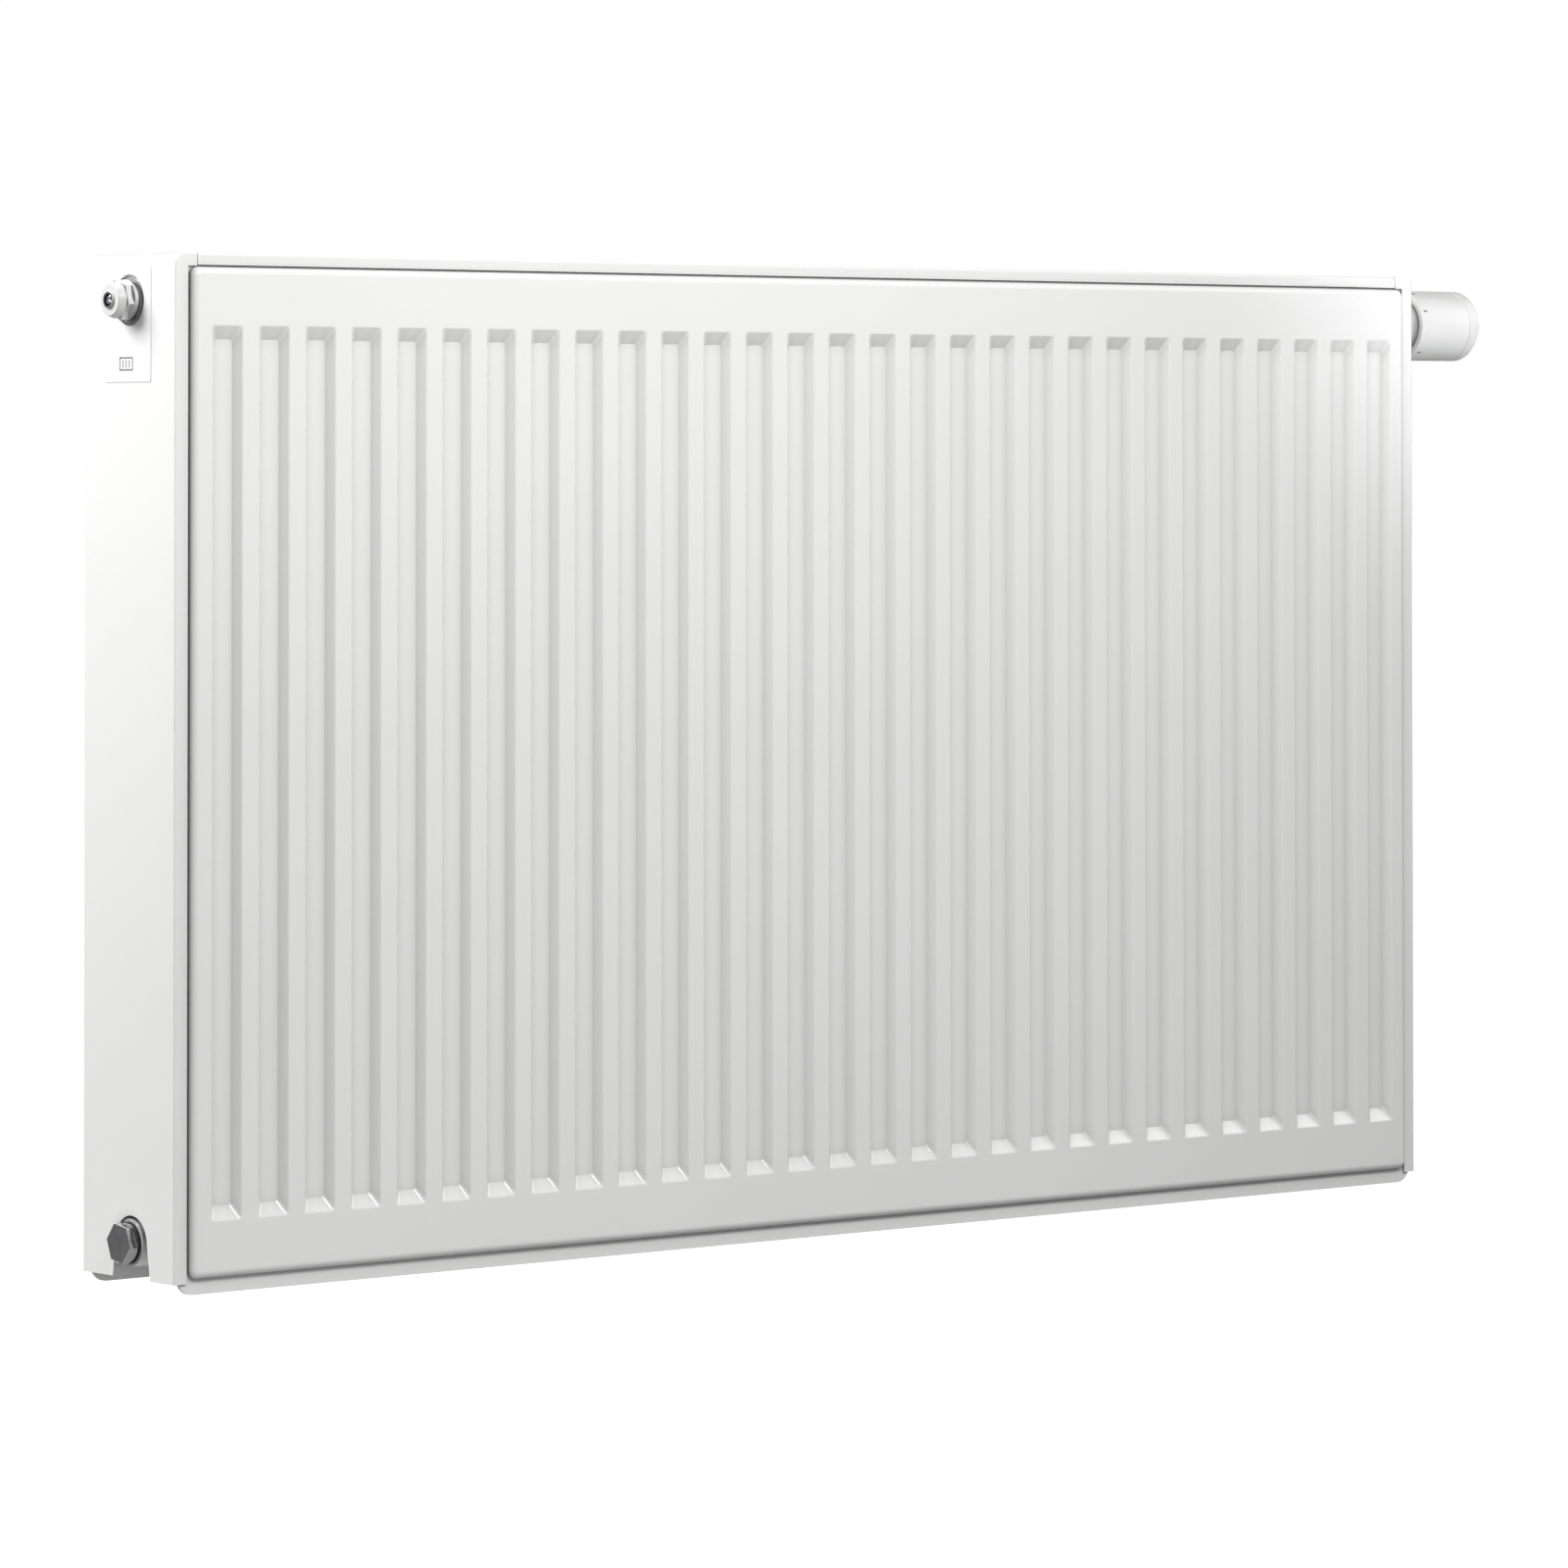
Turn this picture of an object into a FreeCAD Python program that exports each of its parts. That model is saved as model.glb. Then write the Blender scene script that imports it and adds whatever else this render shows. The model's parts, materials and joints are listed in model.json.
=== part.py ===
import FreeCAD, Part
import math
import os

# Panel radiator with two water panels, two convectors and an integrated thermostatic valve.
# Axes: +X along the length towards the valve, +Y into the wall, +Z up.
# The functions work from the middle of the length, on the wall plane, at the bottom edge.
# build() then moves every part so that the origin lies on the wall face of the lower left lug.

# ---- overall ----
LENGTH = 1000.0
HEIGHT = 600.0
FACE_FRONT = -112.0          # flat front face of the front panel
FACE_WALL = -12.0            # flat face of the rear panel that looks at the wall
AXIS_Y = -62.0               # centre plane between the two panels

# ---- water panels ----
SHEET = 1.2                  # steel sheet
PRESS_DEPTH = 6.2            # from the seam plane to the flat face
PITCH = 33.25                # spacing of the recessed grooves
GROOVES = 29
GROOVE_OPEN = 21.6           # groove width at the face
GROOVE_FLOOR = 12.8          # groove width at its floor
GROOVE_LOW, GROOVE_HIGH = 50.0, 550.0
GROOVE_RAMP = 8.0            # length of the sloped groove ends
FACE_ROUND = 4.4             # rounding round the rim of the face
RIDGE_ROUND = 1.7            # rounding of the groove's upper edges
PAN_X = 489.6                # half length of the raised face
PAN_LOW, PAN_HIGH = 9.4, 592.0
PAN_CORNER = 5.0             # corner radius of the raised face
SEAM_X = 496.0               # half length of the welded seam flange
SEAM_HIGH = 596.5

# ---- convectors ----
FIN_SHEET = 0.6
FIN_DEPTH = 34.0
FIN_LOW, FIN_HIGH = 55.0, 545.0
FIN_COUNT = 26               # one on each ridge between the grooves
FIN_WIDTH = 16.0             # across the two legs of one folded fin

# ---- side covers and grille ----
COVER_SHEET = 1.0
COVER_FRONT, COVER_REAR = -108.3, -15.7
COVER_FLANGE = 9.2
COVER_LOW = 6.6
COVER_CORNER = 7.0           # rounded top corner
COVER_RETURN = 15.5          # length of the cover's top return
GRILLE_LIP = 7.0
LABEL_LOW = 525.5
LABEL_THICK = 0.3
SLOT_PITCH = 10.0
SLOT_WIDTH = 6.0

# ---- hanging lugs ----
LUG_X = 12 * PITCH           # centred on a groove, with a leg on the ridge at each side
LUG_LEVELS = (35.0, 500.0)   # lower edges
LUG_HEIGHT = 60.0
LUG_SHEET = 2.0
LUG_SLOT = 10.0
DATUM_RISE = 10.0            # the origin's height above the lower left lug's lower edge

# ---- pipework ----
PORT_PLANE = 499.0           # end faces of the side sockets
PORT_R = 14.0
PORT_BORE = 9.5
TEE_R = 12.0
TEE_BORE = 9.0
TEE_X = 476.0
VENT_Z = 573.0
VALVE_Z = 569.0
LOW_Z = 27.0
NIPPLE_R = 13.22             # G3/4 outside radius
NIPPLE_BORE = 9.0
NIPPLE_LOW, NIPPLE_HIGH = 1.0, 13.0
SUPPLY_X = TEE_X - 50.0
PIPE_R, PIPE_BORE = 6.0, 5.0
RISER_X = 480.0

# ---- valve head ----
HEAD_R = 23.5
HEAD_START, HEAD_JOINT, HEAD_END = 533.0, 578.0, 588.0
NECK_R = 14.85               # M30 neck
FIT = 0.05                   # radial clearance of the running fits


def V(x, y, z):
    return FreeCAD.Vector(x, y, z)


def box(x0, x1, y0, y1, z0, z1):
    return Part.makeBox(x1 - x0, y1 - y0, z1 - z0, V(x0, y0, z0))


def rod(r, start, end):
    return Part.makeCylinder(r, (end - start).Length, start, end - start)


def rod_x(r, x0, x1, z):
    return rod(r, V(x0, AXIS_Y, z), V(x1, AXIS_Y, z))


def rod_y(r, x, z, y0, y1):
    return rod(r, V(x, y0, z), V(x, y1, z))


def rod_z(r, x, z0, z1):
    return rod(r, V(x, AXIS_Y, z0), V(x, AXIS_Y, z1))


def turned(profile, plane, side, z):
    """Turn (distance out of the plane, radius) points around an axis along X."""
    pts = [V(plane + side * d, AXIS_Y, z + r) for d, r in profile]
    face = Part.Face(Part.makePolygon(pts + [pts[0]]))
    return face.revolve(V(0, AXIS_Y, z), V(1, 0, 0), 360)


def ring(d0, d1, r_in, r_out, plane, side, z):
    return turned([(d0, r_in), (d1, r_in), (d1, r_out), (d0, r_out)], plane, side, z)


def flats(sides, d0, d1, across, plane, side, z, turn=0.0):
    """Prism along X with this many flats and lightly chamfered corners."""
    r = across / 2 / math.cos(math.pi / sides)
    step = 2 * math.pi / sides
    pts = [V(plane + side * d0, AXIS_Y + r * math.cos(step * k + math.radians(turn)),
             z + r * math.sin(step * k + math.radians(turn))) for k in range(sides + 1)]
    prism = Part.Face(Part.makePolygon(pts)).extrude(V(side * (d1 - d0), 0, 0))
    edge = min(1.2, across / 8)
    crown = turned([(d0, 0), (d1, 0), (d1, across / 2 + 0.3), (d1 - edge, r + 0.1), (d0, r + 0.1)],
                   plane, side, z)
    return prism.common(crown)


def edges_at(shape, test):
    return [e for e in shape.Edges if test(e)]


def round_edges(shape, radius, test):
    return shape.makeFillet(radius, edges_at(shape, test))


def is_along(e, axis):
    """True when the edge is a straight line along the named axis."""
    if len(e.Vertexes) != 2:
        return False
    d = e.Vertexes[1].Point - e.Vertexes[0].Point
    return abs(abs(getattr(d, axis)) - d.Length) < 1e-6 and d.Length > 1e-6


def plate(x_half, z0, z1, y0, y1, radius):
    """Upright plate with rounded corners."""
    return round_edges(box(-x_half, x_half, y0, y1, z0, z1), radius, lambda e: is_along(e, "y"))


def rectangle(x, half, z0, z1, y):
    pts = [V(x - half, y, z0), V(x + half, y, z0), V(x + half, y, z1), V(x - half, y, z1)]
    return Part.makePolygon(pts + [pts[0]])


def groove(x, grow, y_face, y_floor):
    """Tapered groove cutter; grow widens it by the sheet thickness for the hollow side."""
    slope = (GROOVE_OPEN - GROOVE_FLOOR) / 2 / (PRESS_DEPTH - SHEET)
    ramp = GROOVE_RAMP / (PRESS_DEPTH - SHEET)
    run = y_floor - y_face
    floor = GROOVE_FLOOR / 2 + grow
    outer = rectangle(x, floor + slope * run, GROOVE_LOW - grow - ramp * run,
                      GROOVE_HIGH + grow + ramp * run, y_face)
    inner = rectangle(x, floor, GROOVE_LOW - grow, GROOVE_HIGH + grow, y_floor)
    cutter = Part.makeLoft([outer, inner], True, True)
    return round_edges(cutter, 3.0, lambda e: abs(e.BoundBox.YLength - run) < 1e-3)


def pressed_sheet():
    """Half of a water panel: face towards -Y, seam plane at Y = 0."""
    centres = [PITCH * (i - (GROOVES - 1) / 2) for i in range(GROOVES)]
    pan = plate(PAN_X, PAN_LOW, PAN_HIGH, -PRESS_DEPTH, -SHEET / 2, PAN_CORNER)
    pan = round_edges(pan, FACE_ROUND, lambda e: e.BoundBox.YMax < 1e-3 - PRESS_DEPTH)
    pan = pan.cut(Part.makeCompound([groove(x, 0.0, -PRESS_DEPTH, -SHEET) for x in centres]))
    rim = PAN_X - FACE_ROUND - 1
    pan = round_edges(pan, RIDGE_ROUND, lambda e: e.BoundBox.YMax < 1e-3 - PRESS_DEPTH
                      and e.BoundBox.XLength < PITCH and abs(e.BoundBox.XMin) < rim)
    seam = plate(SEAM_X, 0.0, SEAM_HIGH, -SHEET, 0.0, 10.0)
    hollow = plate(PAN_X - SHEET, PAN_LOW + SHEET, PAN_HIGH - SHEET, -PRESS_DEPTH + SHEET, 0.0,
                   PAN_CORNER - SHEET)
    hollow = round_edges(hollow, FACE_ROUND - SHEET, lambda e: e.BoundBox.YMax < 1e-3 - PRESS_DEPTH + SHEET)
    hollow = hollow.cut(Part.makeCompound(
        [groove(x, 0.45, -PRESS_DEPTH + SHEET, 0.0) for x in centres]))
    return seam.fuse(pan).cut(hollow).removeSplitter()


def flipped(shape):
    return shape.mirror(V(0, 0, 0), V(0, 1, 0))


def moved(shape, y):
    copy = shape.copy()
    copy.translate(V(0, y, 0))
    return copy


def water_holes(y0, y1):
    spots = [(-TEE_X, VENT_Z), (-TEE_X, LOW_Z), (TEE_X - 16, VALVE_Z), (TEE_X, LOW_Z)]
    return Part.makeCompound([rod_y(TEE_BORE - 1, x, z, y0, y1) for x, z in spots])


def convector():
    """Row of folded U-shaped fins standing on the plane Y = 0 and reaching to +Y."""
    fins = []
    half = FIN_WIDTH / 2
    for i in range(FIN_COUNT):
        x = (i - (FIN_COUNT - 1) / 2) * PITCH
        fin = box(x - half, x + half, 0, FIN_DEPTH, FIN_LOW, FIN_HIGH)
        fins.append(fin.cut(box(x - half + FIN_SHEET, x + half - FIN_SHEET, FIN_SHEET, FIN_DEPTH,
                                FIN_LOW, FIN_HIGH)))
    return Part.makeCompound(fins)


def tee(x, z, y0, y1, side):
    """Cross tube between the panels with one threaded socket towards the side."""
    body = rod_y(TEE_R, x, z, y0, y1).fuse(rod_x(PORT_R, x, side * PORT_PLANE, z))
    bores = rod_y(TEE_BORE, x, z, y0, y1).fuse(rod_x(PORT_BORE, x, side * PORT_PLANE, z))
    return body.cut(bores)


def pipe(points, r_out, r_in, bend):
    """Tube through the points with arcs of the given centre-line radius at each corner."""
    edges, last = [], points[0]
    for a, p, b in zip(points, points[1:], points[2:]):
        u, w = (a - p).normalize(), (b - p).normalize()
        half = u.getAngle(w) / 2
        t = bend / math.tan(half)
        start, end = p + u * t, p + w * t
        mid = p + (u + w).normalize() * (bend / math.sin(half) - bend)
        edges += [Part.makeLine(last, start), Part.Arc(start, mid, end).toShape()]
        last = end
    edges.append(Part.makeLine(last, points[-1]))
    path = Part.Wire(edges)
    rings = [Part.Wire(Part.makeCircle(r, points[0], points[1] - points[0])) for r in (r_out, r_in)]
    outer, inner = [path.makePipeShell([w], True, False) for w in rings]
    return outer.cut(inner)


def helix_x(r, wire_r, x0, x1, turns, z):
    """Coil spring along X with flat pitch."""
    length = x1 - x0 - 2 * wire_r
    path = Part.makeHelix(length / turns, length, r)
    ring_wire = Part.Wire(Part.makeCircle(wire_r, V(r, 0, 0), V(0, 1, 0)))
    coil = Part.Wire(path).makePipeShell([ring_wire], True, True)
    coil.rotate(V(0, 0, 0), V(0, 1, 0), 90)
    coil.translate(V(x0 + wire_r, AXIS_Y, z))
    return coil


def side_cover(side):
    """Folded cover on one end, open towards the radiator, with a rounded top corner."""
    x_out = LENGTH / 2
    outer = box(x_out - COVER_RETURN, x_out, COVER_FRONT, COVER_REAR, COVER_LOW, HEIGHT)
    inner = box(x_out - COVER_RETURN - 1, x_out - COVER_SHEET, COVER_FRONT + COVER_SHEET,
                COVER_REAR - COVER_SHEET, COVER_LOW - 1, HEIGHT - COVER_SHEET)
    top_edge = lambda s: (lambda e: is_along(e, "y") and e.BoundBox.XMin > x_out - s
                          and e.BoundBox.ZMin > HEIGHT - s)
    outer = round_edges(outer, COVER_CORNER, top_edge(0.5))
    inner = round_edges(inner, COVER_CORNER - COVER_SHEET, top_edge(1.5))
    flange_gap = box(x_out - COVER_RETURN - 1, x_out - COVER_FLANGE, COVER_FRONT - 1, COVER_REAR + 1,
                     COVER_LOW - 1, HEIGHT - GRILLE_LIP - 0.6)
    shell = outer.cut(inner).cut(flange_gap)
    shell = round_edges(shell, 0.8, lambda e: is_along(e, "z") and e.BoundBox.XMin > x_out - 0.5)
    if side > 0:
        shell = shell.cut(rod_x(NECK_R + 1.2, x_out - 5, x_out + 5, VALVE_Z))
    else:
        shell = shell.cut(rod_x(14.6, x_out - 5, x_out + 5, VENT_Z))
    notch_y, notch_r = AXIS_Y - 3.5, 16.0
    flare = [V(x_out - 5, notch_y - notch_r, LOW_Z), V(x_out - 5, notch_y + notch_r, LOW_Z),
             V(x_out - 5, notch_y + 20.0, 0), V(x_out - 5, notch_y - 20.0, 0)]
    shell = shell.cut(Part.Face(Part.makePolygon(flare + [flare[0]])).extrude(V(10, 0, 0)))
    shell = shell.cut(rod(notch_r, V(x_out - 5, notch_y, LOW_Z), V(x_out + 5, notch_y, LOW_Z)))
    return shell if side > 0 else shell.mirror(V(0, 0, 0), V(1, 0, 0))


def top_grille():
    """Slotted top with a lip over the front and rear seams; lifts straight off."""
    half = LENGTH / 2 - COVER_RETURN - 0.4
    z_low = HEIGHT - GRILLE_LIP
    outer = box(-half, half, COVER_FRONT, COVER_REAR, z_low, HEIGHT)
    outer = round_edges(outer, 1.5, lambda e: is_along(e, "x") and e.BoundBox.ZMin > HEIGHT - 0.5)
    inner = box(-half, half, COVER_FRONT + COVER_SHEET, COVER_REAR - COVER_SHEET,
                z_low, HEIGHT - COVER_SHEET)
    count = int(2 * (half - 8) / SLOT_PITCH)
    slots = []
    for i in range(count):
        x = (i - (count - 1) / 2) * SLOT_PITCH
        for y0, y1 in ((COVER_FRONT + 7, AXIS_Y - 3), (AXIS_Y + 3, COVER_REAR - 7)):
            slots.append(box(x - SLOT_WIDTH / 2, x + SLOT_WIDTH / 2, y0, y1, HEIGHT - 3, HEIGHT + 1))
    return outer.cut(inner).cut(Part.makeCompound(slots))


def hanging_lugs():
    """Four welded hat-section lugs, each with a slot for a wall bracket's hook."""
    lugs = []
    half = PITCH / 2 + 1
    for x in (-LUG_X, LUG_X):
        for z0 in LUG_LEVELS:
            z1 = z0 + LUG_HEIGHT
            hat = box(x - half, x + half, FACE_WALL, 0, z0, z1)
            hat = round_edges(hat, LUG_SHEET, lambda e: is_along(e, "z") and e.BoundBox.YMin > -0.5)
            hat = hat.cut(box(x - half + LUG_SHEET, x + half - LUG_SHEET, FACE_WALL, -LUG_SHEET, z0, z1))
            lugs.append(hat.cut(box(x - LUG_SLOT / 2, x + LUG_SLOT / 2, -5, 1, z0 + 20, z1 - 15)))
    return Part.makeCompound(lugs)


def label_plate():
    """Thin plate stuck on the left cover around the vent."""
    y0, y1 = COVER_FRONT + 24.4, COVER_FRONT + 71.0
    x = -LENGTH / 2
    sticker = box(x - LABEL_THICK, x, y0, y1, LABEL_LOW, HEIGHT - COVER_CORNER)
    sticker = round_edges(sticker, 1.5, lambda e: is_along(e, "x"))
    return sticker.cut(rod_x(15.2, x - 1, x + 1, VENT_Z))


def air_vent():
    at = (-PORT_PLANE, -1, VENT_Z)
    seal = ring(0, 1.5, 9.4, 11.4, *at)
    body = ring(-11, 1.5, 0, 9.3, *at).fuse(ring(1.5, 5.2, 0, 12.2, *at))
    body = body.fuse(flats(6, 5.2, 10.0, 21.0, *at, turn=12.0)).fuse(ring(10.0, 16.4, 0, 4.8, *at))
    body = body.cut(ring(-12, 9.0, 0, 3.0 + FIT, *at)).cut(ring(9.0, 17, 0, 3.7, *at))
    screw = ring(-6, 9.0, 0, 3.0, *at).fuse(flats(4, 9.0, 15.8, 4.2, *at, turn=25.0))
    slot = box(-PORT_PLANE - 16, -PORT_PLANE - 14.6, AXIS_Y - 4, AXIS_Y + 4, VENT_Z - 0.45, VENT_Z + 0.45)
    slot.rotate(V(0, AXIS_Y, VENT_Z), V(1, 0, 0), 25)
    screw = screw.cut(slot)
    profile = [(10.3, 4.8 + FIT), (15.2, 4.8 + FIT), (15.2, 9.1), (14.6, 9.6), (10.9, 10.7),
               (10.3, 10.7)]
    nozzle = turned(profile, *at)
    spout = rod(1.2, V(-PORT_PLANE - 12.8, AXIS_Y, VENT_Z - 12), V(-PORT_PLANE - 12.8, AXIS_Y, VENT_Z - 4))
    return {"vent_seal": seal, "vent_body": body, "vent_screw": screw, "vent_nozzle": nozzle.cut(spout)}


def blanking_plug(side, turn):
    at = (side * PORT_PLANE, side, LOW_Z)
    seal = ring(0, 1.6, 9.4, 12.1, *at)
    plug = ring(-11, 1.6, 0, 9.3, *at).fuse(ring(1.6, 3.2, 0, 11.6, *at))
    plug = plug.fuse(flats(6, 3.2, 7.7, 21.5, *at, turn=turn))
    return seal, plug


def valve_insert():
    at = (0, 1, VALVE_Z)
    body = turned([(466, 0), (500.6, 0), (510, 0), (510, NECK_R), (500.6, NECK_R), (500.6, 9.3),
                   (466, 9.3)], *at)
    body = body.cut(ring(465, 469.5, 0, 4.0, *at)).cut(ring(469.5, 482, 0, 6.6, *at))
    body = body.cut(ring(482, 485, 0, 2.6 + FIT, *at)).cut(ring(485, 500, 0, 5.4, *at))
    body = body.cut(ring(500, 511, 0, 6.5, *at))
    body = body.cut(rod_z(3.0, 477, VALVE_Z - 12, VALVE_Z + 12)).cut(rod_y(3.0, 477, VALVE_Z, -80, -44))
    seal = ring(PORT_PLANE, 500.6, 9.4, 13.0, *at)
    gland = ring(500, 510, 1.5 + FIT, 6.45, *at).fuse(flats(6, 510, 513.5, 11, *at).cut(
        ring(509, 514, 0, 1.5 + FIT, *at)))
    disc = ring(471.05, 473.4, 0, 5.4, *at)
    stem = ring(473.4, 475.4, 0, 5.9, *at).fuse(ring(475.4, 490.5, 0, 2.6, *at))
    stem = stem.fuse(ring(490.5, 492.2, 0, 4.6, *at)).fuse(ring(492.2, 516, 0, 1.5, *at))
    spring = helix_x(4.0, 0.6, 485.0, 490.5, 2.5, VALVE_Z)
    return {"valve_insert_body": body, "valve_insert_seal": seal, "valve_gland": gland,
            "valve_disc": disc, "valve_stem": stem, "valve_return_spring": spring}


def knurled(shape, r, x0, x1, count):
    cuts = []
    for k in range(count):
        a = 2 * math.pi * k / count
        y, z = AXIS_Y + r * math.cos(a), VALVE_Z + r * math.sin(a)
        cuts.append(rod(0.7, V(x0, y, z), V(x1, y, z)))
    return shape.cut(Part.makeCompound(cuts))


def thermostatic_head():
    at = (0, 1, VALVE_Z)
    nut = turned([(501.5, NECK_R + 0.15), (513.3, NECK_R + 0.15), (513.3, 13.4), (516, 13.4),
                  (516, 17.8), (515.2, 18.6), (502.3, 18.6), (501.5, 17.8)], *at)
    nut = knurled(nut, 18.6, 500, 517, 36)
    base = turned([(510, 8.6), (510, 14.8), (513.2, 14.8), (513.2, 13.2), (516.4, 13.2), (520, 17.0),
                   (551.5, 17.0), (551.5, 14.4), (524, 14.4), (524, 3.2 + FIT), (521, 3.2 + FIT),
                   (521, 8.6)], *at)
    base = base.fuse(ring(538, 542, 16, 19.5, *at))
    windows = [box(544, 549.5, AXIS_Y - 30, AXIS_Y + 30, VALVE_Z - 3, VALVE_Z + 3),
               box(544, 549.5, AXIS_Y - 3, AXIS_Y + 3, VALVE_Z - 30, VALVE_Z + 30)]
    base = base.cut(Part.makeCompound(windows))
    sleeve = turned([(HEAD_START, 20.4), (HEAD_START, 22.9), (HEAD_START + 0.6, HEAD_R),
                     (HEAD_JOINT - 0.4, HEAD_R), (HEAD_JOINT, HEAD_R - 0.4), (HEAD_JOINT, 20.1),
                     (572.5, 20.1), (572.5, 18.6), (552.5, 18.6), (552.5, 19.5 + FIT),
                     (537, 19.5 + FIT)], *at)
    cap = turned([(573.0, 18.9), (573.0, 20.0), (HEAD_JOINT + 0.2, 20.0), (HEAD_JOINT + 0.2, HEAD_R - 0.4),
                  (HEAD_JOINT + 0.6, HEAD_R), (HEAD_END, HEAD_R), (HEAD_END, 0), (HEAD_END - 3, 0),
                  (HEAD_END - 3, 18.9)], *at)
    cap = round_edges(cap, 3.4, lambda e: e.BoundBox.XMin > HEAD_END - 0.01)
    carrier = turned([(553.8, 4.2), (556, 4.2), (556, 15.4), (571.5, 15.4), (571.5, 18.0), (553.8, 18.0)],
                     *at)
    capsule = round_edges(ring(556, 574, 0, 15.1, *at), 2.0, lambda e: e.BoundBox.YLength > 5)
    rod_part = ring(516.05, 556, 0, 3.2, *at).fuse(ring(530, 531.5, 0, 8.0, *at))
    spring = helix_x(6.2, 0.9, 531.5, 553.8, 5, VALVE_Z)
    return {"head_union_nut": nut, "head_base": base, "head_sleeve": sleeve, "head_end_cap": cap,
            "sensor_carrier": carrier, "sensor_capsule": capsule, "push_rod": rod_part,
            "overload_spring": spring}


def pipework():
    y0, y1 = FACE_FRONT + 2 * PRESS_DEPTH, FACE_WALL - 2 * PRESS_DEPTH
    parts = {
        "top_left_tee": tee(-TEE_X, VENT_Z, y0, y1, -1),
        "bottom_left_tee": tee(-TEE_X, LOW_Z, y0, y1, -1),
    }
    nipple = rod_z(NIPPLE_R, TEE_X, NIPPLE_LOW, NIPPLE_HIGH).fuse(rod_z(11, TEE_X, NIPPLE_HIGH, LOW_Z))
    solid_tee = rod_y(TEE_R + FIT, TEE_X, LOW_Z, y0, y1).fuse(
        rod_x(PORT_R + FIT, TEE_X, PORT_PLANE, LOW_Z))
    parts["return_nipple"] = nipple.cut(solid_tee).cut(rod_z(NIPPLE_BORE, TEE_X, 0, LOW_Z))
    parts["return_tee"] = tee(TEE_X, LOW_Z, y0, y1, 1).cut(rod_z(NIPPLE_BORE - 2, TEE_X, 0, LOW_Z))
    supply = rod_z(NIPPLE_R, SUPPLY_X, NIPPLE_LOW, NIPPLE_HIGH).fuse(rod_z(8.5, SUPPLY_X, NIPPLE_HIGH, 24))
    supply = supply.cut(rod_z(PIPE_BORE, SUPPLY_X, 0, 30)).cut(rod_z(NIPPLE_BORE, SUPPLY_X, 0, 12))
    parts["supply_nipple"] = supply.cut(rod_z(PIPE_R + FIT, SUPPLY_X, 18, 30))
    parts["supply_bracket"] = box(SUPPLY_X - 15, SUPPLY_X + 15, y0, y1, NIPPLE_HIGH, 15).cut(
        rod_z(8.5 + FIT, SUPPLY_X, 10, 30))
    path = [V(SUPPLY_X, AXIS_Y, 18), V(SUPPLY_X, AXIS_Y, 34), V(RISER_X, AXIS_Y, 74),
            V(RISER_X, AXIS_Y, VALVE_Z - 13)]
    parts["riser_pipe"] = pipe(path, PIPE_R, PIPE_BORE, 12.0)
    x = TEE_X - 16
    housing = rod_y(TEE_R, x, VALVE_Z, y0, y1).fuse(rod_x(PORT_R, x, PORT_PLANE, VALVE_Z))
    housing = housing.cut(rod_y(TEE_BORE, x, VALVE_Z, y0, y1)).cut(rod_x(PORT_BORE, x, PORT_PLANE, VALVE_Z))
    parts["valve_housing"] = housing.cut(rod_z(PIPE_R + FIT, RISER_X, VALVE_Z - 16, VALVE_Z))
    return parts


def water_panels():
    sheet = pressed_sheet()
    seam_front, seam_rear = FACE_FRONT + PRESS_DEPTH, FACE_WALL - PRESS_DEPTH
    holes = water_holes(FACE_FRONT + PRESS_DEPTH, FACE_WALL - PRESS_DEPTH)
    parts = {
        "front_panel_outer_sheet": moved(sheet, seam_front),
        "front_panel_inner_sheet": moved(flipped(sheet), seam_front).cut(holes),
        "rear_panel_inner_sheet": moved(sheet, seam_rear).cut(holes),
        "rear_panel_outer_sheet": moved(flipped(sheet), seam_rear),
    }
    fin = convector()
    parts["front_convector"] = moved(fin, FACE_FRONT + 2 * PRESS_DEPTH)
    parts["rear_convector"] = moved(flipped(fin), FACE_WALL - 2 * PRESS_DEPTH)
    return parts


def build():
    parts = water_panels()
    parts.update(pipework())
    parts["hanging_lugs"] = hanging_lugs()
    parts["left_side_cover"] = side_cover(-1)
    parts["right_side_cover"] = side_cover(1)
    parts["top_grille"] = top_grille()
    parts["label_plate"] = label_plate()
    parts.update(air_vent())
    parts["left_plug_seal"], parts["left_plug"] = blanking_plug(-1, 8.0)
    parts["right_plug_seal"], parts["right_plug"] = blanking_plug(1, 0.0)
    parts.update(valve_insert())
    parts.update(thermostatic_head())
    for shape in parts.values():
        shape.translate(V(LUG_X, 0, -LUG_LEVELS[0] - DATUM_RISE))
    return parts


os.makedirs("parts", exist_ok=True)
for name, shape in build().items():
    shape.exportStep("parts/" + name + ".step")
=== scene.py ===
import json
import math

import bmesh
import bpy
from mathutils import Matrix, Vector


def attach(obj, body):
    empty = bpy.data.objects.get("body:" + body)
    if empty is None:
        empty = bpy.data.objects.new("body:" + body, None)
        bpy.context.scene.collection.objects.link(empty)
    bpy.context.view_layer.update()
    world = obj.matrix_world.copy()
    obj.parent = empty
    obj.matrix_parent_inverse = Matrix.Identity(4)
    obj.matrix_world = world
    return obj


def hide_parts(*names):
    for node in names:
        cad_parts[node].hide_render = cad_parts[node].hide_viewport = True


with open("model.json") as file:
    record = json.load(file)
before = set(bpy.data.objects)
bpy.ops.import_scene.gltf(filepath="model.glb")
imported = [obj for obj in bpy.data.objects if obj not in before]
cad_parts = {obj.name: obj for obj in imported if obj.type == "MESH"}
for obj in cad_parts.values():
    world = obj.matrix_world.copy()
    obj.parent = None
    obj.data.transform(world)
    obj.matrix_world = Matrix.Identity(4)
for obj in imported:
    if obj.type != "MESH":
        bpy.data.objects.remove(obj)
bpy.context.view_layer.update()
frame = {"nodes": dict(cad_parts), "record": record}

NODES = frame["nodes"]
MM = 0.001

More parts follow.
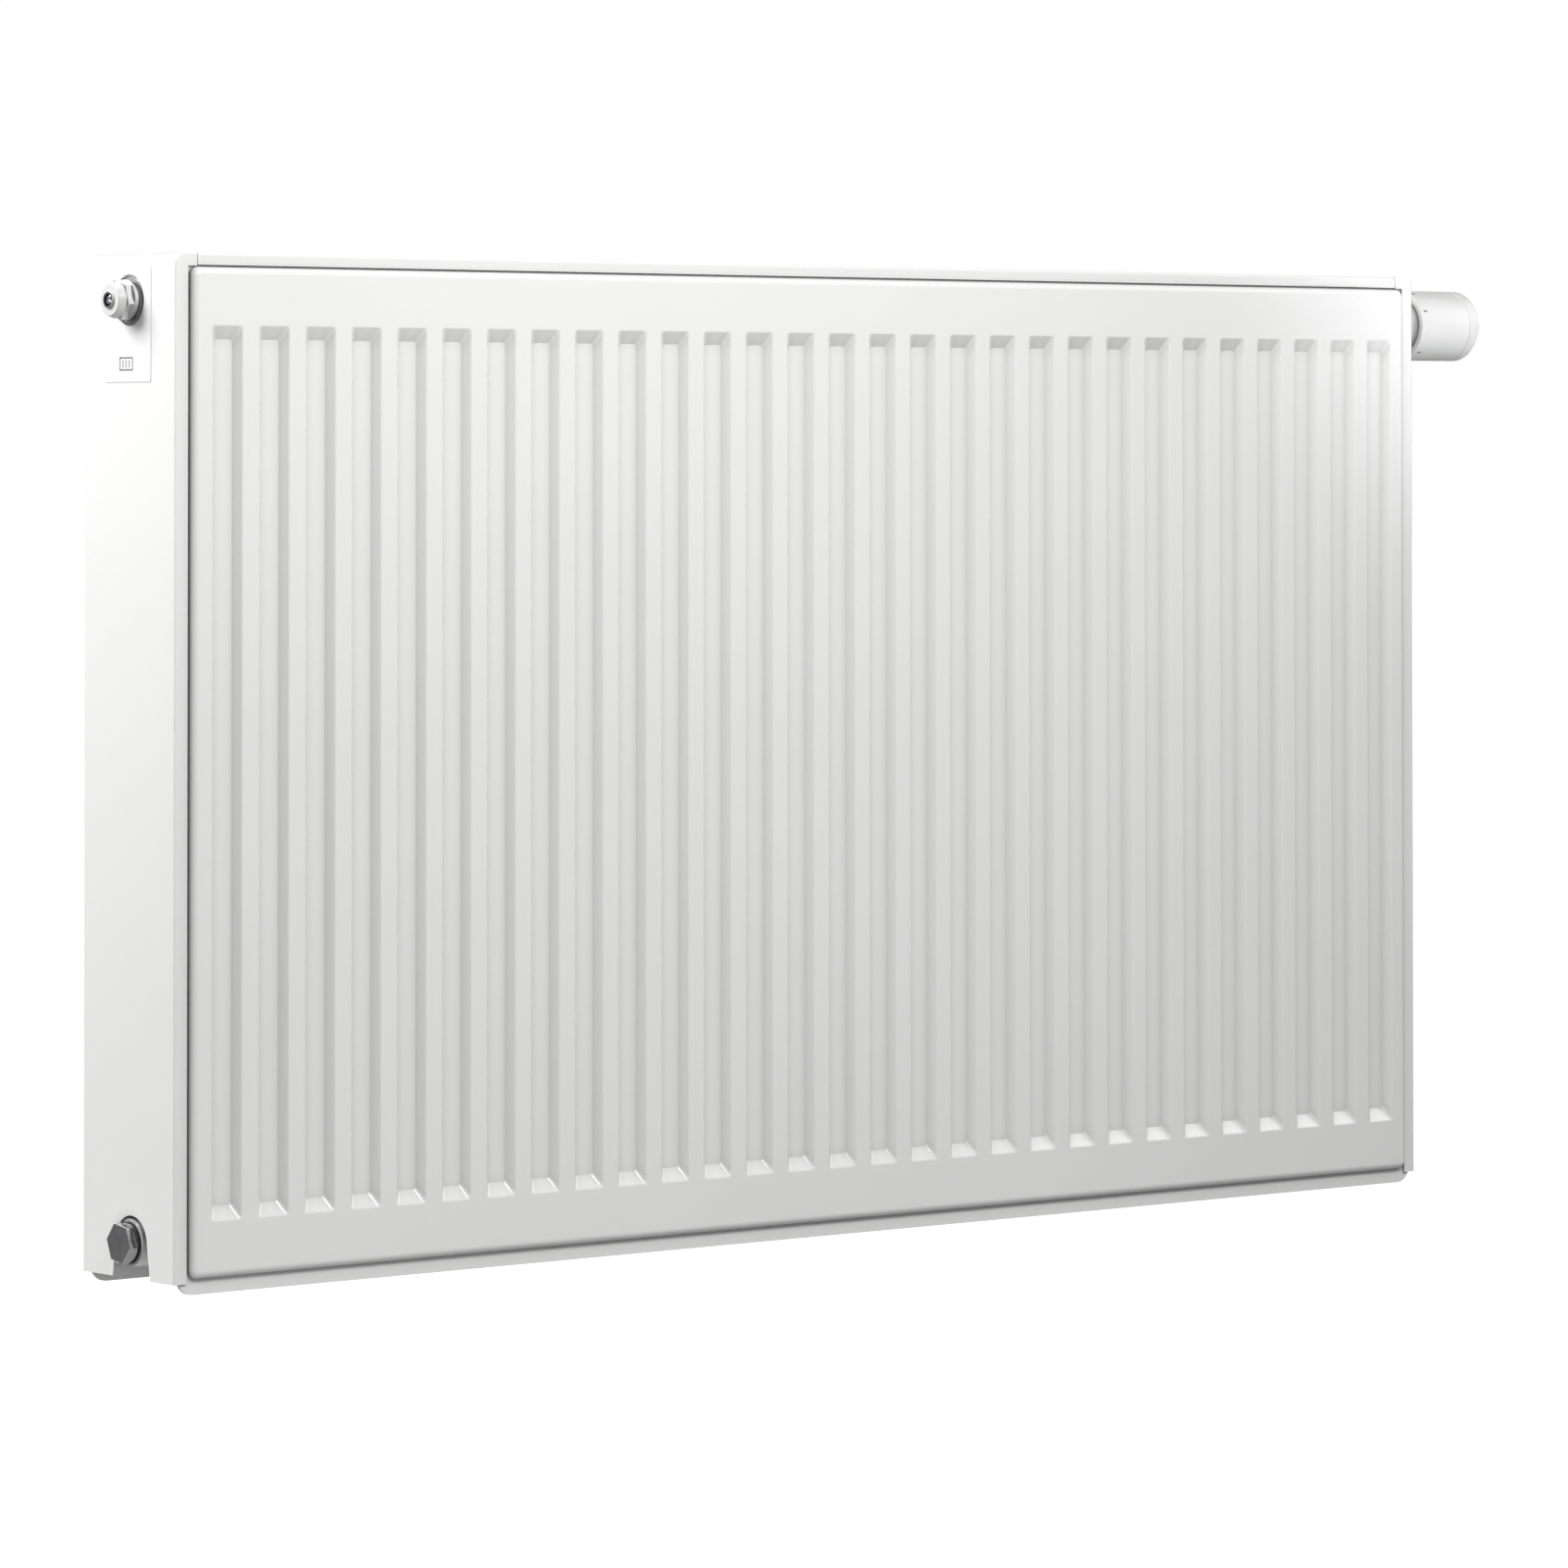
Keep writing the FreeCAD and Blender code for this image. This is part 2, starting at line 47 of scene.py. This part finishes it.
# ---- room and camera, in metres from MIDDLE ----
MIDDLE = Vector((0.399, 0.0, -0.045))   # middle of the length, wall plane, bottom edge
FLOOR_DROP = 0.13                       # the radiator hangs this far above the floor
FLOOR_RADIUS = 40
FLOOR_TONE = (0.32, 0.32, 0.32, 1)
FLOOR_GLOW = 0.95                       # only the camera sees it
ROOM_LIGHT = 0.26
CAMERA_AT = (-2.7672, -3.3820, 0.4905)
CAMERA_TO = (0.6236, 0.7814, 0.0257)    # direction of sight
CAMERA_LENS = 158.41
CAMERA_SHIFT = (0.0894, -0.3311)

# ---- enamel ----
WHITE = (0.83, 0.83, 0.825)
WHITE_THIN = tuple(c * 0.975 for c in WHITE)
PAINTED_SHADE_REACH = 0.010                    # how far from a corner the painted shade reaches
# tone and share of the painted shade in the enamel's pressed corners
PAINTED_SHADE_TONE = (0.36, 0.36, 0.36)
PAINTED_SHADE_SHARE = 0.85

# ---- fittings and printed marks, in millimetres ----
HEAD_AXIS = (-62.0, 569.0)              # Y and Z; the vent and plugs share its Y
HEAD_RADIUS = 23.5
DASH_TURNS = (65, 24, -50, -90, -130)   # degrees up from the front
DASH = (3.4, 1.1, 0.06)
DASH_X = 537.8
LABEL_FACE = -500.3
SYMBOL_AT = (-59.0, 536.0)
SYMBOL = (13.0, 7.0)
SYMBOL_DEPTH = 0.06
SYMBOL_BARS = 3
BAR_GAP = 1.2                           # left above and below each bar
STROKE = 0.8
THREAD_PITCH = 1.814 * MM               # G3/4
PORT_PLANE = 499.0                      # end faces of the side sockets
PLUG_Z, VENT_Z = 27.0, 573.0
FITTING_DEPTH = 11.0                    # reach of a fitting into its socket
FITTING_R = 9.3
EDGE_BREAK = 0.4                        # bevel round the front of a hexagon

# ---- meshes ----
TURN_STEPS = 96
SHARP = math.radians(20)
WELD = 1e-7


def at(x, y, z):
    """A place given from the middle of the radiator's bottom edge."""
    return MIDDLE + Vector((x, y, z))


def add_object(name, data):
    """Puts new data into the scene as an object of the same name."""
    made = bpy.data.objects.new(name, data)
    bpy.context.scene.collection.objects.link(made)
    return made


def add_mesh(name, bm, *materials):
    """Turns a finished bmesh into an object with these materials."""
    mesh = bpy.data.meshes.new(name)
    bm.to_mesh(mesh)
    bm.free()
    for material in materials:
        mesh.materials.append(material)
    return add_object(name, mesh)


def look_along(thing, direction):
    thing.rotation_euler = Vector(direction).to_track_quat("-Z", "Y").to_euler()


def unlike_for_camera(tree, output, lit, seen):
    """Shows one shader to the camera, and another to the light that reaches the object."""
    path = tree.nodes.new("ShaderNodeLightPath")
    pick = tree.nodes.new("ShaderNodeMixShader")
    tree.links.new(path.outputs["Is Camera Ray"], pick.inputs["Fac"])
    tree.links.new(lit, pick.inputs[1])
    tree.links.new(seen, pick.inputs[2])
    tree.links.new(pick.outputs[0], tree.nodes[output].inputs["Surface"])


# ---- small helpers for node materials ----
class Paint:
    """A material's node tree, with short calls for the nodes used here."""

    def __init__(self, name, **sockets):
        self.mat = bpy.data.materials.new(name)
        self.mat.use_nodes = True
        self.tree = self.mat.node_tree
        self.shader = self.tree.nodes["Principled BSDF"]
        for key, value in sockets.items():
            self.shader.inputs[key.replace("_", " ")].default_value = value
        coords = self.tree.nodes.new("ShaderNodeTexCoord")
        self.place = coords.outputs["Object"]

    def node(self, kind, **inputs):
        made = self.tree.nodes.new(kind)
        for key, value in inputs.items():
            made.inputs[key.replace("_", " ")].default_value = value
        return made

    def link(self, a, b):
        self.tree.links.new(a, b)

    def noise(self, scale, detail=3.0, stretch=None):
        made = self.node("ShaderNodeTexNoise", Scale=scale, Detail=detail, Roughness=0.5)
        source = self.place
        if stretch:
            mapping = self.node("ShaderNodeMapping", Scale=stretch)
            self.link(source, mapping.inputs["Vector"])
            source = mapping.outputs["Vector"]
        self.link(source, made.inputs["Vector"])
        return made.outputs["Fac"]

    def ramp(self, value, colours, low=0.3, high=0.7):
        made = self.tree.nodes.new("ShaderNodeValToRGB")
        for element, place, colour in zip(made.color_ramp.elements, (low, high), colours):
            element.position = place
            element.color = (*colour, 1)
        self.link(value, made.inputs["Fac"])
        return made.outputs["Color"]

    def mix(self, a, b, share, blend="MIX"):
        made = self.tree.nodes.new("ShaderNodeMix")
        made.data_type = "RGBA"
        made.blend_type = blend
        made.inputs["Factor"].default_value = share
        self.link(a, made.inputs["A"])
        self.link(b, made.inputs["B"])
        return made.outputs["Result"]

    def spread(self, value, low, high):
        made = self.node("ShaderNodeMapRange", To_Min=low, To_Max=high)
        self.link(value, made.inputs["Value"])
        return made.outputs["Result"]

    def bump(self, value, distance, below=None):
        made = self.node("ShaderNodeBump", Strength=1.0, Distance=distance)
        self.link(value, made.inputs["Height"])
        if below:
            self.link(below, made.inputs["Normal"])
        return made.outputs["Normal"]

    def set(self, socket, value):
        self.link(value, self.shader.inputs[socket])


def enamel():
    """Baked gloss enamel with painted shade in pressed corners, faint orange peel, wavy sheet
    beneath.
    """
    p = Paint("white_enamel", Specular_IOR_Level=0.5, Coat_Weight=0.35, Coat_Roughness=0.08)
    tone = p.ramp(p.noise(5.0), (WHITE_THIN, WHITE))
    # painted shade: ambient occlusion darkens the enamel's colour in corners and grooves, where
    # shade falls
    corner = p.node("ShaderNodeAmbientOcclusion", Distance=PAINTED_SHADE_REACH)
    corner.samples = 8
    p.link(tone, corner.inputs["Color"])
    shade = p.ramp(corner.outputs["AO"], (PAINTED_SHADE_TONE, (1, 1, 1)), 0.3, 0.8)
    painted_shade_colour = p.mix(corner.outputs["Color"], shade, 1.0, "MULTIPLY")
    p.set("Base Color", p.mix(tone, painted_shade_colour, PAINTED_SHADE_SHARE))
    p.set("Roughness", p.spread(p.noise(18.0, 5.0), 0.14, 0.22))
    wavy = p.bump(p.noise(9.0, 2.0, stretch=(1, 1, 0.3)), 0.0006)
    p.set("Normal", p.bump(p.noise(420.0, 2.0), 0.00005, below=wavy))
    return p.mat


def plated():
    p = Paint("plated_steel", Metallic=1.0)
    p.set("Base Color", p.ramp(p.noise(60.0, 4.0), ((0.62, 0.62, 0.63), (0.78, 0.78, 0.78)), 0.35))
    p.set("Roughness", p.spread(p.noise(900.0, 4.0, stretch=(0.1, 1, 1)), 0.1, 0.3))
    p.set("Normal", p.bump(p.noise(700.0, 3.0), 0.00004))
    return p.mat


def steel():
    p = Paint("spring_steel", Metallic=1.0)
    p.set("Base Color", p.ramp(p.noise(200.0), ((0.42, 0.42, 0.44), (0.6, 0.6, 0.62))))
    p.set("Roughness", p.spread(p.noise(500.0), 0.25, 0.42))
    return p.mat


def brass():
    p = Paint("brass", Metallic=1.0)
    p.set("Base Color", p.ramp(p.noise(120.0), ((0.62, 0.42, 0.16), (0.80, 0.60, 0.28))))
    p.set("Roughness", p.spread(p.noise(800.0, stretch=(0.2, 1, 1)), 0.22, 0.38))
    return p.mat


def rubber():
    p = Paint("black_rubber")
    p.set("Base Color", p.ramp(p.noise(300.0), ((0.012, 0.012, 0.012), (0.03, 0.03, 0.03))))
    p.set("Roughness", p.spread(p.noise(150.0), 0.6, 0.8))
    p.set("Normal", p.bump(p.noise(900.0), 0.00008))
    return p.mat


def plastic(name, colour, rough):
    """Moulded plastic, and the other plain surfaces: film, fibre and ink."""
    p = Paint(name)
    tone = tuple(c * 0.96 for c in colour)
    p.set("Base Color", p.ramp(p.noise(30.0), (tone, colour)))
    p.set("Roughness", p.spread(p.noise(60.0, 5.0), *rough))
    p.set("Normal", p.bump(p.noise(1400.0, 2.0), 0.00003))
    return p.mat


def dull_steel():
    """The flat end face of a plug, dark grey."""
    p = Paint("dull_steel", Metallic=0.7)
    p.set("Base Color", p.ramp(p.noise(140.0, 4.0), ((0.15, 0.15, 0.155), (0.2, 0.2, 0.205))))
    p.set("Roughness", p.spread(p.noise(500.0, 4.0), 0.4, 0.55))
    p.set("Normal", p.bump(p.noise(900.0, 2.0), 0.00005))
    return p.mat


def threaded():
    """Plated steel cut with a fine thread: rings at the thread's pitch up the connection."""
    p = Paint("threaded_steel", Metallic=1.0)
    p.set("Base Color", p.ramp(p.noise(60.0, 4.0), ((0.60, 0.60, 0.61), (0.76, 0.76, 0.76)), 0.35))
    p.set("Roughness", p.spread(p.noise(900.0, 4.0), 0.18, 0.34))
    # a wave texture of scale 1 has a period of 2 pi / 20
    turns = p.node("ShaderNodeTexWave", Scale=2 * math.pi / 20 / THREAD_PITCH, Distortion=0.0)
    turns.bands_direction = "Z"
    p.link(p.place, turns.inputs["Vector"])
    p.set("Normal", p.bump(turns.outputs["Fac"], 0.0008))
    return p.mat


MATERIALS = {
    "white_enamel": enamel(),
    "plated_steel": plated(),
    "spring_steel": steel(),
    "brass": brass(),
    "black_rubber": rubber(),
    "white_plastic": plastic("white_plastic", (0.66, 0.66, 0.655), (0.3, 0.42)),
    "grey_plastic": plastic("grey_plastic", (0.16, 0.16, 0.165), (0.45, 0.6)),
    "label_film": plastic("label_film", (0.86, 0.86, 0.86), (0.12, 0.2)),
    "base_plastic": plastic("base_plastic", (0.55, 0.55, 0.55), (0.35, 0.5)),
    "fibre_seal": plastic("fibre_seal", (0.66, 0.66, 0.65), (0.5, 0.7)),
    "dull_steel": dull_steel(),
    "scale_ink": plastic("scale_ink", (0.10, 0.10, 0.105), (0.4, 0.55)),
    "threaded_steel": threaded(),
}

# nodes that look unlike the rest of their slot
OWN_MATERIAL = {
    "supply_nipple": "threaded_steel",
    "return_nipple": "threaded_steel",
    "head_base": "base_plastic",
    "vent_seal": "fibre_seal",
}

for entry in frame["record"]["subparts"]:
    look = OWN_MATERIAL.get(entry["node"], entry["material_slot"])
    surfaces = NODES[entry["node"]].data.materials
    surfaces.clear()
    surfaces.append(MATERIALS[look])


# ---- printed marks ----
def blocks(name, boxes, body):
    """One printed piece made of thin blocks, each given by its matrix, riding on a body."""
    bm = bmesh.new()
    for matrix in boxes:
        bmesh.ops.create_cube(bm, size=1.0, matrix=matrix)
    made = add_mesh(name, bm, MATERIALS["scale_ink"])
    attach(made, body)


def sized(size):
    """Matrix that stretches a unit cube to a size in millimetres."""
    return Matrix.Diagonal((*(s * MM for s in size), 1))


def block(centre, size):
    """Matrix of one block, both in millimetres from the middle of the bottom edge."""
    return Matrix.Translation(at(*(c * MM for c in centre))) @ sized(size)


def scale_dashes():
    """Short printed dashes round the inner end of the handle."""
    y, z = HEAD_AXIS
    axis = Matrix.Translation(at(DASH_X * MM, y * MM, z * MM))
    out = Matrix.Translation((0, 0, HEAD_RADIUS * MM))
    dashes = []
    for degrees in DASH_TURNS:
        turn = Matrix.Rotation(math.radians(90 - degrees), 4, "X")
        dashes.append(axis @ turn @ out @ sized(DASH))
    blocks("scale_dashes", dashes, "handle")


def label_symbol():
    """A plain pictogram of a heating panel: a frame with upright bars, and no lettering."""
    y, z = SYMBOL_AT
    wide, high = SYMBOL
    parts = []
    for side in (-1, 1):
        parts.append(block((LABEL_FACE, y, z + side * high / 2), (SYMBOL_DEPTH, wide, STROKE)))
    for side in (-1, 1):
        upright = (SYMBOL_DEPTH, STROKE, high + STROKE)
        parts.append(block((LABEL_FACE, y + side * wide / 2, z), upright))
    for k in range(SYMBOL_BARS):
        bar = y + (k - (SYMBOL_BARS - 1) / 2) * wide / (SYMBOL_BARS + 1)
        parts.append(block((LABEL_FACE, bar, z), (SYMBOL_DEPTH, STROKE, high - 2 * BAR_GAP)))
    blocks("label_symbol", parts, "radiator")


# ---- fittings with crisp hexagons, in place of the frame's rounded ones ----
def ring(out, radius):
    """A round step of a profile: its distance out of the port plane, and its radius."""
    return (out, radius, 0)


def hexagon(out, across):
    """A six-sided step of a profile, by its width across the flats."""
    return (out, 0, across)


def hex_head(start, face, across):
    """A hexagon from its collar to its front face, whose edge is broken."""
    return [hexagon(start, across), hexagon(face - EDGE_BREAK, across),
            hexagon(face, across - 2 * EDGE_BREAK)]


def stem(bore, seat, collar_r, hex_start):
    """The part of a fitting in its socket, and the round collar in front of it."""
    return [ring(-FITTING_DEPTH, bore), ring(-FITTING_DEPTH, FITTING_R), ring(seat, FITTING_R),
            ring(seat, collar_r), ring(hex_start, collar_r)]


PLUG = [*stem(0, 1.6, 11.6, 3.2), *hex_head(3.2, 7.7, 21.5), ring(7.7, 0)]
PLUG_FRONT = len(PLUG) - 2              # the step that closes the head
VENT = [*stem(3.05, 1.5, 12.2, 5.2), *hex_head(5.2, 10.0, 21.0),
        ring(10.0, 4.8), ring(16.4, 4.8), ring(16.4, 3.7), ring(9.0, 3.7), ring(9.0, 3.05)]


def hex_reach(angle, across):
    """How far a hexagon's outline is from its centre at this angle from a corner."""
    sixth = math.pi / 3
    return across / 2 / math.cos(angle % sixth - sixth / 2)


def on_axis(step):
    return step[1] == 0 and not step[2]


def lathe(name, profile, side, z, corner, node, dark_step=None):
    """Metal fitting on an axis along X, standing for a frame node of the same size.

    The profile is a closed loop of steps, side is -1 or 1 for the radiator's end, and corner is
    the angle of the hexagon's first corner.
    """
    bm = bmesh.new()
    turns = []
    for k in range(TURN_STEPS):
        angle = 2 * math.pi * k / TURN_STEPS
        y, up = math.cos(angle + corner), math.sin(angle + corner)
        points = []
        for out, radius, across in profile:
            r = hex_reach(angle, across) if across else radius
            place = (side * (PORT_PLANE + out), HEAD_AXIS[0] + r * y, z + r * up)
            points.append(bm.verts.new(at(*(v * MM for v in place))))
        turns.append(points)
    count = len(profile)
    for here, after in zip(turns, turns[1:] + turns[:1]):
        for i in range(count):
            j = (i + 1) % count
            if on_axis(profile[i]) and on_axis(profile[j]):
                continue
            face = bm.faces.new((here[i], here[j], after[j], after[i]))
            face.material_index = 1 if i == dark_step else 0
            face.smooth = True
    bmesh.ops.remove_doubles(bm, verts=bm.verts, dist=WELD)
    bmesh.ops.recalc_face_normals(bm, faces=bm.faces)
    for edge in bm.edges:
        edge.smooth = edge.calc_face_angle(0.0) < SHARP
    made = add_mesh(name, bm, MATERIALS["plated_steel"], MATERIALS["dull_steel"])
    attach(made, "radiator")
    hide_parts(node)


scale_dashes()
label_symbol()
lathe("left_plug_body", PLUG, -1, PLUG_Z, math.radians(8), "left_plug", PLUG_FRONT)
lathe("right_plug_body", PLUG, 1, PLUG_Z, 0.0, "right_plug", PLUG_FRONT)
lathe("vent_fitting", VENT, -1, VENT_Z, math.radians(12), "vent_body")


# ---- stage ----
def floor():
    """A wide pale disc below the radiator: seen close to white, giving back little light."""
    p = Paint("studio_floor", Base_Color=FLOOR_TONE, Roughness=0.8, Specular_IOR_Level=0.0)
    glow = p.node("ShaderNodeEmission", Strength=FLOOR_GLOW)
    both = p.tree.nodes.new("ShaderNodeAddShader")
    p.link(p.shader.outputs[0], both.inputs[0])
    p.link(glow.outputs[0], both.inputs[1])
    unlike_for_camera(p.tree, "Material Output", p.shader.outputs[0], both.outputs[0])
    bm = bmesh.new()
    bmesh.ops.create_circle(bm, cap_ends=True, segments=TURN_STEPS, radius=FLOOR_RADIUS)
    disc = add_mesh("studio_floor", bm, p.mat)
    disc.location = at(0, 0, -FLOOR_DROP)


def surroundings():
    """White behind the object, a softer grey room for the light and the reflections."""
    world = bpy.data.worlds.new("studio")
    bpy.context.scene.world = world
    world.use_nodes = True
    tree = world.node_tree
    room = tree.nodes["Background"]
    seen = tree.nodes.new("ShaderNodeBackground")
    for background, strength in ((room, ROOM_LIGHT), (seen, 1.0)):
        background.inputs["Color"].default_value = (1, 1, 1, 1)
        background.inputs["Strength"].default_value = strength
    unlike_for_camera(tree, "World Output", room.outputs[0], seen.outputs[0])


def softbox(name, place, aim, size, watts, beam=180):
    """A rectangular lamp at one place, facing another; beam is its spread in degrees."""
    data = bpy.data.lights.new(name, "AREA")
    data.shape = "RECTANGLE"
    data.size, data.size_y = size
    data.energy = watts
    data.spread = math.radians(beam)
    lamp = add_object(name, data)
    lamp.location = at(*place)
    look_along(lamp, Vector(aim) - Vector(place))


def camera():
    data = bpy.data.cameras.new("camera")
    data.sensor_width = 36
    data.lens = CAMERA_LENS
    data.shift_x, data.shift_y = CAMERA_SHIFT
    data.clip_end = 200
    made = add_object("camera", data)
    made.location = at(*CAMERA_AT)
    look_along(made, CAMERA_TO)
    bpy.context.scene.camera = made


floor()
surroundings()
softbox("key", (-0.25, -1.4, 1.3), (-0.1, 0, 0.63), (1.3, 0.45), 24)
softbox("side", (-1.5, 0.75, 1.5), (-0.5, -0.06, 0.72), (1.0, 0.95), 47)
softbox("edge", (2.5, -1.1, 1.5), (0.1, -0.1, 0.55), (1.2, 1.0), 8)
softbox("low", (0.9, -1.3, -0.1), (0.59, -0.06, 0.57), (0.3, 0.3), 0.26, beam=14)
softbox("strip", (0.0, -0.3, 2.2), (0, -0.1, 0.5), (1.9, 0.06), 3.6)
camera()
bpy.context.scene.view_settings.view_transform = "Standard"
